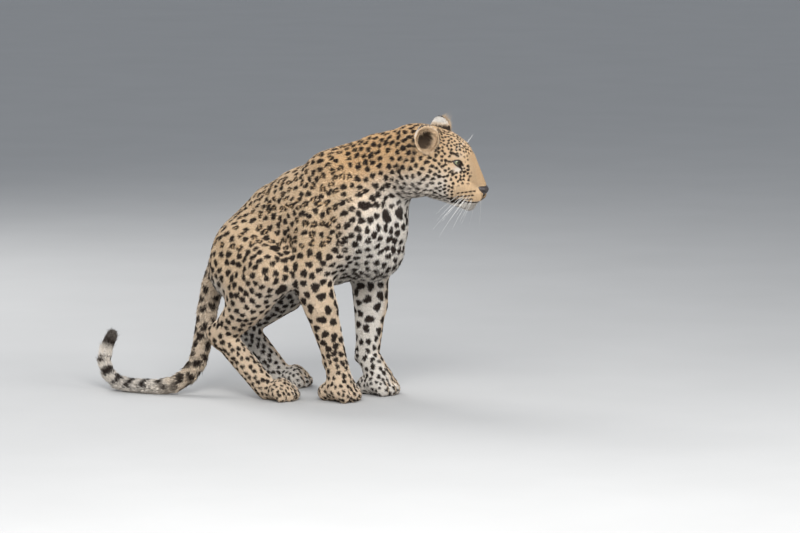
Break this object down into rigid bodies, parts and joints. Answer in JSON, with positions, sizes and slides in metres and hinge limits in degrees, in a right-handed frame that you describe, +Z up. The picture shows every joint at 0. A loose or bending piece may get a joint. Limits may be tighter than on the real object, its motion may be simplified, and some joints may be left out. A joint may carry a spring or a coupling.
{
  "type": "leopard, life-size still model",
  "caption": "Life-size spotted leopard, half crouched on its haunches with straight forelegs, head turned forward and tail laid on the floor.",
  "frame": {"origin": "on the floor, below the middle of the whole animal's length and width", "axes": "+X the way the leopard faces, +Y its left side, +Z up"},
  "size_m": [0.9586, 0.3586, 0.6785],
  "materials": {
    "coat": "short dense fur, tawny with black rosettes",
    "nose_leather": "fine grained, slightly moist",
    "eye": "wet, glossy",
    "whisker": "stiff white bristle"
  },
  "bodies": {
    "root": {"torso": "coat", "neck": "coat", "head": "coat", "nose": "nose_leather", "ear_left": "coat", "ear_right": "coat", "eye_left": "eye", "eye_right": "eye", "foreleg_left": "coat", "foreleg_right": "coat", "forepaw_left": "coat", "forepaw_right": "coat", "hindleg_left": "coat", "hindleg_right": "coat", "hindpaw_left": "coat", "hindpaw_right": "coat", "tail_base": "coat", "tail_middle": "coat", "tail_tip": "coat"}
  },
  "joints": []
}
